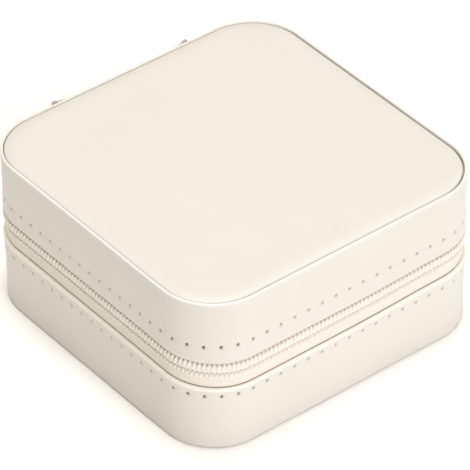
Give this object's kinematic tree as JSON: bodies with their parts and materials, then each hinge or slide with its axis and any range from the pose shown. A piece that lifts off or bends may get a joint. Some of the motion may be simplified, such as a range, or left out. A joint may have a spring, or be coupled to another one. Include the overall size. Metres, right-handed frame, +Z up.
{
  "type": "jewelry box",
  "caption": "Square rounded travel jewelry box in cream leatherette with a coil zip, a sewn hinge spine and a velvet inside with ring rolls, dividers and lid straps.",
  "frame": {"origin": "centre of the flat face that the box stands on", "axes": "+Z up, -Y towards the front, +Y towards the hinge spine, +X towards the closed zip slider"},
  "size_m": [0.1043, 0.1016, 0.0496],
  "materials": {
    "leatherette": "cream leatherette with a fine smooth grain and a soft sheen",
    "board": "grey board, hidden",
    "velvet": "short-pile velvet",
    "foam": "soft foam, hidden",
    "thread": "polyester sewing thread",
    "zip_tape": "woven polyester tape",
    "zip_coil": "nylon coil",
    "elastic": "gathered elastic hem",
    "metal": "polished nickel plate"
  },
  "bodies": {
    "base": {"base_bottom_cover": "leatherette", "floor_board": "board", "base_frame": "board", "base_side_band": "leatherette", "base_lining": "velvet", "base_stitches": "thread", "lower_zip_tape": "zip_tape", "lower_zip_coil": "zip_coil", "lower_zip_stops": "metal", "spine_lower_leaf": "leatherette", "partition": "velvet", "ring_roll_1": "velvet", "ring_roll_2": "velvet", "ring_roll_3": "velvet", "ring_roll_4": "velvet", "ring_roll_5": "velvet", "ring_roll_6": "velvet", "ring_roll_7": "velvet", "divider_guides": "velvet"},
    "lid": {"lid_frame": "board", "lid_top_board": "board", "lid_pad": "foam", "lid_top_cover": "leatherette", "lid_side_band": "leatherette", "lid_lining": "velvet", "lid_stitches": "thread", "upper_zip_tape": "zip_tape", "upper_zip_coil": "zip_coil", "upper_zip_stops": "metal", "spine_upper_leaf": "leatherette", "strap_anchors": "leatherette", "stud_posts": "metal", "lid_pocket": "velvet", "pocket_elastic": "elastic"},
    "zip_slider": {"zip_slider": "metal"},
    "pull_ring": {"pull_ring": "metal"},
    "pull_tab": {"pull_tab": "metal"},
    "front_divider": {"front_divider": "velvet"},
    "rear_divider": {"rear_divider": "velvet"},
    "strap_1": {"necklace_strap_1": "leatherette", "stud_cap_1": "metal"},
    "strap_2": {"necklace_strap_2": "leatherette", "stud_cap_2": "metal"},
    "strap_3": {"necklace_strap_3": "leatherette", "stud_cap_3": "metal"}
  },
  "joints": [
    {"name": "lid_fold", "type": "hinge", "parent": "base", "child": "lid", "pos_m": [0, 0.05, 0.028], "axis": [-1, 0, 0], "range_deg": [0, 105]},
    {"name": "zip_run", "type": "slide", "parent": "base", "child": "zip_slider", "axis": [0, -1, 0], "range_m": [0, 0.05]},
    {"name": "loop_swing", "type": "hinge", "parent": "zip_slider", "child": "pull_ring", "pos_m": [0.0525, 0.024, 0.028], "axis": [0, -1, 0], "range_deg": [0, 150]},
    {"name": "pull_swing", "type": "hinge", "parent": "pull_ring", "child": "pull_tab", "pos_m": [0.0525, 0.024, 0.0239], "axis": [1, 0, 0], "range_deg": [-90, 90]},
    {"name": "front_divider_lift", "type": "slide", "parent": "base", "child": "front_divider", "axis": [0, 0, 1], "range_m": [0, 0.016]},
    {"name": "rear_divider_lift", "type": "slide", "parent": "base", "child": "rear_divider", "axis": [0, 0, 1], "range_m": [0, 0.016]},
    {"name": "strap_1_fold", "type": "hinge", "parent": "lid", "child": "strap_1", "pos_m": [-0.025, -0.038, 0.04385], "axis": [-1, 0, 0], "range_deg": [0, 95]},
    {"name": "strap_2_fold", "type": "hinge", "parent": "lid", "child": "strap_2", "pos_m": [0, -0.038, 0.04385], "axis": [-1, 0, 0], "range_deg": [0, 95]},
    {"name": "strap_3_fold", "type": "hinge", "parent": "lid", "child": "strap_3", "pos_m": [0.025, -0.038, 0.04385], "axis": [-1, 0, 0], "range_deg": [0, 95]}
  ]
}
